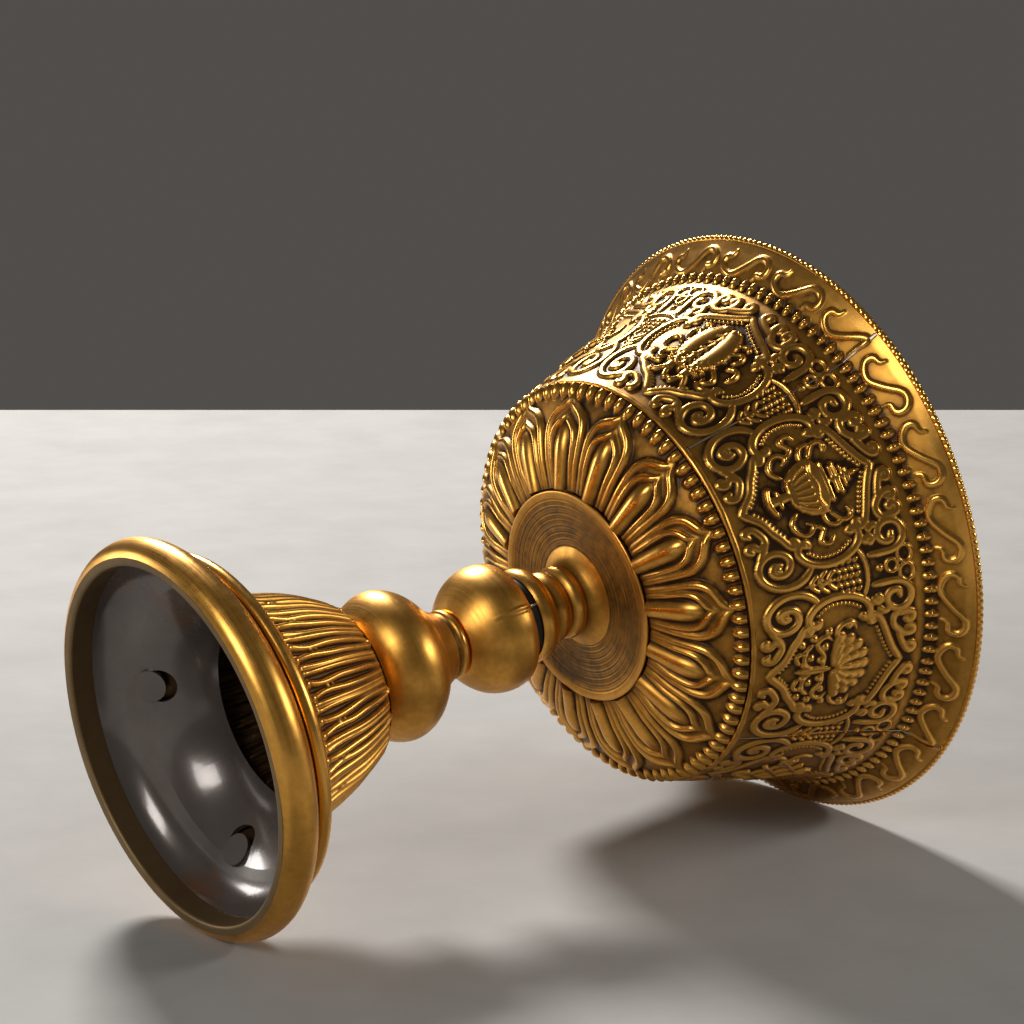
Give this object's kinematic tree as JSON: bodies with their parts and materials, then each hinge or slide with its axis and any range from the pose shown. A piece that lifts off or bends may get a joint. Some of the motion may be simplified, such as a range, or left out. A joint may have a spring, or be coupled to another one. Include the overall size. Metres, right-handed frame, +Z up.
{
  "type": "butter lamp",
  "caption": "Goblet-shaped butter lamp: an embossed brass bowl with a wick socket on a turned stem, and a fluted foot. The bowl unscrews from the stem.",
  "frame": {"origin": "centre of the flat face that the foot stands on", "axes": "+Z up the axis of the lamp; +X through a soldered seam of the bowl"},
  "size_m": [0.0886, 0.0886, 0.1072],
  "materials": {
    "embossed_brass": "antique patina, raised work polished",
    "satin_brass": "brushed satin",
    "bright_brass": "polished",
    "plain_brass": "spun, lightly polished",
    "liner_steel": "grey-brown glossy lacquer over steel",
    "zinc_steel": "zinc plated",
    "black_rubber": "matt"
  },
  "bodies": {
    "stem": {"foot_ring": "satin_brass", "fluted_skirt": "embossed_brass", "foot_liner": "liner_steel", "tie_washer": "zinc_steel", "tie_nut": "zinc_steel", "tie_rod": "zinc_steel", "ball_knop": "satin_brass", "neck_collar": "satin_brass", "threaded_bush": "plain_brass", "bell_knop": "satin_brass"},
    "washer": {"joint_washer": "black_rubber"},
    "bowl": {"ring_spool": "satin_brass", "jam_nut": "zinc_steel", "dish_disc": "satin_brass", "petal_pan": "embossed_brass", "wall_panel_1": "embossed_brass", "wall_panel_2": "embossed_brass", "wall_panel_3": "embossed_brass", "wall_panel_4": "embossed_brass", "inner_cup": "plain_brass", "rim_ring": "bright_brass", "pan_spacer": "zinc_steel", "bowl_stud": "zinc_steel", "wick_holder": "plain_brass"}
  },
  "joints": [
    {"name": "bowl_lift", "type": "slide", "parent": "stem", "child": "washer", "axis": [0, 0, 1], "range_m": [0, 0.0056]},
    {"name": "bowl_unscrew", "type": "hinge", "parent": "washer", "child": "bowl", "pos_m": [0, 0, 0.0584], "axis": [0, 0, 1], "range_deg": [0, 1980]}
  ],
  "couplings": [
    {"joint": "bowl_lift", "follows": "bowl_unscrew", "m_per_rad": 0.00015915}
  ]
}
